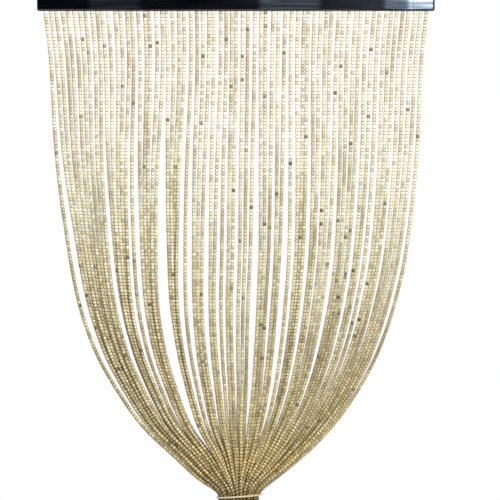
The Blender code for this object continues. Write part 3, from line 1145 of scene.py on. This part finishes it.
def add_block(bm, low, high):
    verts = bmesh.ops.create_cube(bm, size=1)["verts"]
    bmesh.ops.scale(bm, vec=[b - a for a, b in zip(low, high)], verts=verts)
    bmesh.ops.translate(bm, vec=[(a + b) / 2 for a, b in zip(low, high)], verts=verts)


def round_edges(bm, edges, radius, segments):
    bmesh.ops.bevel(bm, geom=edges, offset=radius, segments=segments, profile=0.5, affect="EDGES")


def make_rail(material):
    bm = bmesh.new()
    add_block(bm, rail_low, rail_high)
    front = [e for e in bm.edges if any(v.co.y < STRAND_PLANE for v in e.verts)]
    round_edges(bm, front, RAIL_FRONT_ROUND, 9)
    back = [e for e in bm.edges if all(abs(v.co.y) < 1e-6 for v in e.verts)]
    round_edges(bm, back, RAIL_BACK_ROUND, 3)
    rail = finished("rail_bar", bm, material, sharp=30)
    half_run = STRIPS_HALF_RUN + FIT
    groove = bmesh.new()
    add_block(groove, (-half_run, STRAND_PLANE - GROOVE_WIDTH / 2, RAIL_BOTTOM - GROOVE_DEEP),
              (half_run, STRAND_PLANE + GROOVE_WIDTH / 2, RAIL_BOTTOM + GROOVE_DEEP))
    cutter = finished("groove_cutter", groove, material, sharp=40)
    cut = rail.modifiers.new("groove", "BOOLEAN")
    cut.object = cutter
    weigh_normals(rail, RAIL_FACE_WEIGHT).keep_sharp = True
    mesh = evaluated_mesh(rail)
    rail.modifiers.clear()
    rail.data = mesh
    bpy.data.objects.remove(cutter, do_unlink=True)
    return rail


def make_strips(material):
    bm = bmesh.new()
    half_depth = GROOVE_WIDTH / 2 - FIT
    roots = paths[0, :, 0]
    for first in range(0, STRANDS, PER_GROUP):
        after = first + PER_GROUP
        start, end = -STRIPS_HALF_RUN, STRIPS_HALF_RUN
        if first > 0:
            start = (roots[first - 1] + roots[first]) / 2 + FIT / 2
        if after < STRANDS:
            end = (roots[after - 1] + roots[after]) / 2 - FIT / 2
        add_block(bm, (start, STRAND_PLANE - half_depth, RAIL_BOTTOM),
                  (end, STRAND_PLANE + half_depth, RAIL_BOTTOM + GROOVE_DEEP - FIT))
    round_edges(bm, list(bm.edges), STRIP_ROUND, 2)
    return finished("strips", bm, material, sharp=30)


print("rail is", round((rail_high.x - rail_low.x) * 1000), "mm long")

# %% [markdown]
# Lacquer and bare wood
#
# The lacquer is near black with a bluish cast. Fine lengthwise brush marks show in its gloss,
# as the grain group stretched along the rail. The strips are plain wood, stained dark.

# %% Materials of the rail and the strips
LACQUER = (
    (0.35, (0.0002, 0.0002, 0.0004)),
    (0.75, (0.0008, 0.0010, 0.0019)),
)
LACQUER_GRAIN = (22.0, 1400.0, 1400.0)
LACQUER_ROUGHNESS = (0.35, 0.65, 0.12, 0.24)
LACQUER_COAT = (0.42, 0.59, 0.30, 0.95)
HAZE = (0.0028, 0.0036, 0.0066)
HAZE_SHARE = (0.50, 0.72, 0.0, 0.75)
CLOUD_STRETCH = (7.0, 260.0, 260.0)
STAIN = (
    (0.30, (0.030, 0.020, 0.012)),
    (0.70, (0.085, 0.055, 0.030)),
)
STRIP_GRAIN = (60.0, 1600.0, 1600.0)
STAIN_ROUGHNESS = (0.3, 0.7, 0.5, 0.75)


def make_lacquer():
    material, tree, shader = new_material("black_lacquer")
    shader.inputs["Specular IOR Level"].default_value = 0.06
    place = object_place(tree)
    fibres, bands = grain_masks(tree, place, None, LACQUER_GRAIN)
    stretched = add_node(tree, "ShaderNodeMapping", {"Scale": CLOUD_STRETCH})
    tree.links.new(place, stretched.inputs["Vector"])
    cloud = noise(tree, stretched.outputs["Vector"], 1.0, 4.0, 0.65)
    haze = map_range(tree, cloud, *HAZE_SHARE)
    colour = mix_colours(tree, haze, ramp(tree, LACQUER, fibres), HAZE)
    tree.links.new(colour, shader.inputs["Base Color"])
    tree.links.new(map_range(tree, bands, *LACQUER_ROUGHNESS), shader.inputs["Roughness"])
    tree.links.new(map_range(tree, cloud, *LACQUER_COAT), shader.inputs["Coat Weight"])
    attach_bump(tree, shader, fibres, distance=0.0002, strength=0.05)
    return material


def make_stained_wood():
    material, tree, shader = new_material("stained_strip_wood")
    fibres, bands = grain_masks(tree, object_place(tree), None, STRIP_GRAIN)
    tree.links.new(ramp(tree, STAIN, fibres), shader.inputs["Base Color"])
    tree.links.new(map_range(tree, bands, *STAIN_ROUGHNESS), shader.inputs["Roughness"])
    attach_bump(tree, shader, fibres, distance=0.0002, strength=0.4)
    return material


rail_bar = make_rail(make_lacquer())
strips = make_strips(make_stained_wood())
print("rail faces:", len(rail_bar.data.polygons), "strip faces:", len(strips.data.polygons))

# %% [markdown]
# Floor, light and surroundings
#
# The curtain hangs against plain white. The surround lights it from above and from the sides
# and is dim in front, so the rail mirrors darkness and stays black. A broad soft light stands
# in front, a little to the right. The rail's flat face mirrors a row of panels, which give its
# gloss bright patches, and an end panel lights its right end. A pale floor lies below the tail.

# %% Floor and surround
FLOOR_BELOW = 0.060
FLOOR_RADIUS = 4.0
FLOOR_COLOURS = (
    (0.3, (0.80, 0.80, 0.79)),
    (0.7, (0.84, 0.84, 0.83)),
)
DIM_HEADING = (-0.06, -0.98, 0.16)
DIM_SURROUND = 0.003
OPEN_SKY = (0.95, 0.60)
UPWARD_SHARE = (-0.3, 0.8, 0.10, 1.15)
BACKWARD_SHARE = (-0.1, 0.7, 1.0, 0.6)
SKY_TINT = (0.93, 0.96, 1.0, 1.0)


def make_floor():
    bm = bmesh.new()
    bmesh.ops.create_circle(bm, cap_ends=True, segments=96, radius=FLOOR_RADIUS)
    bmesh.ops.translate(bm, vec=(0, 0, cad_box[0].z - FLOOR_BELOW), verts=bm.verts)
    material, tree, shader = new_material("pale_floor", 0.7)
    mottle = noise(tree, object_place(tree), 3.0, 4.0)
    tree.links.new(ramp(tree, FLOOR_COLOURS, mottle), shader.inputs["Base Color"])
    return finished("floor", bm, material)


def make_world():
    """White to the camera; to other rays bright above and at the sides, and dim in front."""
    world = bpy.data.worlds.new("white_surround")
    world.use_nodes = True
    tree = world.node_tree
    tree.nodes.clear()
    make = partial(add_node, tree)
    heading = make("ShaderNodeTexCoord").outputs["Generated"]
    ahead = make("ShaderNodeVectorMath", {1: DIM_HEADING}, operation="DOT_PRODUCT")
    tree.links.new(heading, ahead.inputs[0])
    open_sky = map_range(tree, ahead.outputs["Value"], *OPEN_SKY)
    split = split_vector(tree, heading)
    upward = map_range(tree, split["Z"], *UPWARD_SHARE)
    backward = map_range(tree, split["Y"], *BACKWARD_SHARE)
    lit = calculate(tree, "MULTIPLY", open_sky, backward)
    strength = calculate(tree, "MULTIPLY_ADD", lit, upward, DIM_SURROUND)
    white = (1.0, 1.0, 1.0, 1.0)
    seen = make("ShaderNodeBackground", {"Color": white, "Strength": 1.0})
    lighting = make("ShaderNodeBackground", {"Color": SKY_TINT})
    tree.links.new(strength, lighting.inputs["Strength"])
    rays = make("ShaderNodeLightPath")
    either = make("ShaderNodeMixShader")
    output = make("ShaderNodeOutputWorld")
    connect(tree, (
        (rays, "Is Camera Ray", either, 0),
        (lighting, 0, either, 1),
        (seen, 0, either, 2),
        (either, 0, output, "Surface"),
    ))
    bpy.context.scene.world = world


floor = make_floor()
make_world()
print("floor", round(FLOOR_BELOW * 1000), "mm below the lowest strand end")

# %% Lamps and mirrored panels
PANEL_TINT = (0.64, 0.78, 1.0)
PANEL_PLANE = -3.4
PANEL_RISE = 0.25

# The stretches of the rail, as places across it, that mirror a panel, the panel's brightness,
# and how far it hangs below the height that the flat face mirrors
Mirrored = namedtuple("Mirrored", "first last brightness hang")
MIRRORED = [Mirrored(*row) for row in (
    (-0.330, -0.217, 0.6, 0.25),
    (0.055, 0.190, 2.6, 0.25),
    (0.213, 0.326, 0.4, 0.25),
    (0.338, 0.391, 8.0, 1.60),
    (0.392, 0.400, 54.0, 1.60),
    (0.404, 0.409, 64.0, 1.60),
    (0.411, 0.470, 43.0, 1.60),
)]


def add_softbox(name, place, aim, width, height, power, colour):
    light = bpy.data.lights.new(name, "AREA")
    light.shape = "RECTANGLE"
    light.size = width
    light.size_y = height
    light.energy = power
    light.color = colour
    lamp = add_object(name, light)
    lamp.location = place
    lamp.visible_camera = False
    toward = np.array(aim, float) - np.array(place, float)
    flat = math.hypot(toward[0], toward[1])
    lamp.rotation_euler = (math.atan2(flat, -toward[2]), 0, math.atan2(-toward[0], toward[1]))


def add_panel(name, place, aim, width, height, brightness):
    power = brightness * math.pi * width * height
    add_softbox(name, place, aim, width, height, power, PANEL_TINT)


def mirrored_at(across, height):
    """Where the camera's ray goes at the panels' plane after the rail's face mirrors it."""
    share = (rail_low.y - PANEL_PLANE) / (rail_low.y - camera.location.y)
    return across + share * (across - CAMERA_ACROSS), height + share * (height - camera.location.z)


add_softbox("key_light", place=(1.1, -3.8, 1.9), aim=(0.1, 0, -0.3), width=2.2, height=2.0,
            power=365, colour=(0.94, 0.97, 1.0))
for number, part in enumerate(MIRRORED):
    left, level = mirrored_at(part.first, 0)
    right, level = mirrored_at(part.last, 0)
    height = PANEL_RISE + part.hang
    middle = (left + right) / 2
    centre = level + PANEL_RISE - height / 2
    add_panel(f"panel_{number + 1}", (middle, PANEL_PLANE, centre), (middle, 0, centre),
              right - left, height, part.brightness)
add_panel("end_panel", place=(2.36, -1.62, 0.0), aim=(0.45, 0, 0), width=2.4, height=0.5,
          brightness=5.0)
bpy.context.scene.view_settings.view_transform = "Standard"
bpy.context.scene.view_settings.look = "None"
print("panels in the rail's face:", len(MIRRORED))

# %% [markdown]
# Handing the pieces to the frame
#
# Every piece rides on the one body. A set of eleven bead strings, the cord and the rail each
# take the place of the solid that they cover, which is hidden. The threads and strips are extra
# pieces in the same space.

# %% Rides and hidden solids
for number, beads in enumerate(bead_sets):
    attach(beads, "root")
    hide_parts(f"strands_{number + 1}")
other_slots = (
    (threads, "cotton_cord"),
    (tie_cord, "cotton_cord"),
    (rail_bar, "black_lacquer"),
    (strips, "wood_beads"),
)
for piece, slot in other_slots:
    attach(piece, "root")
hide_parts("tie")
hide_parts("rail")
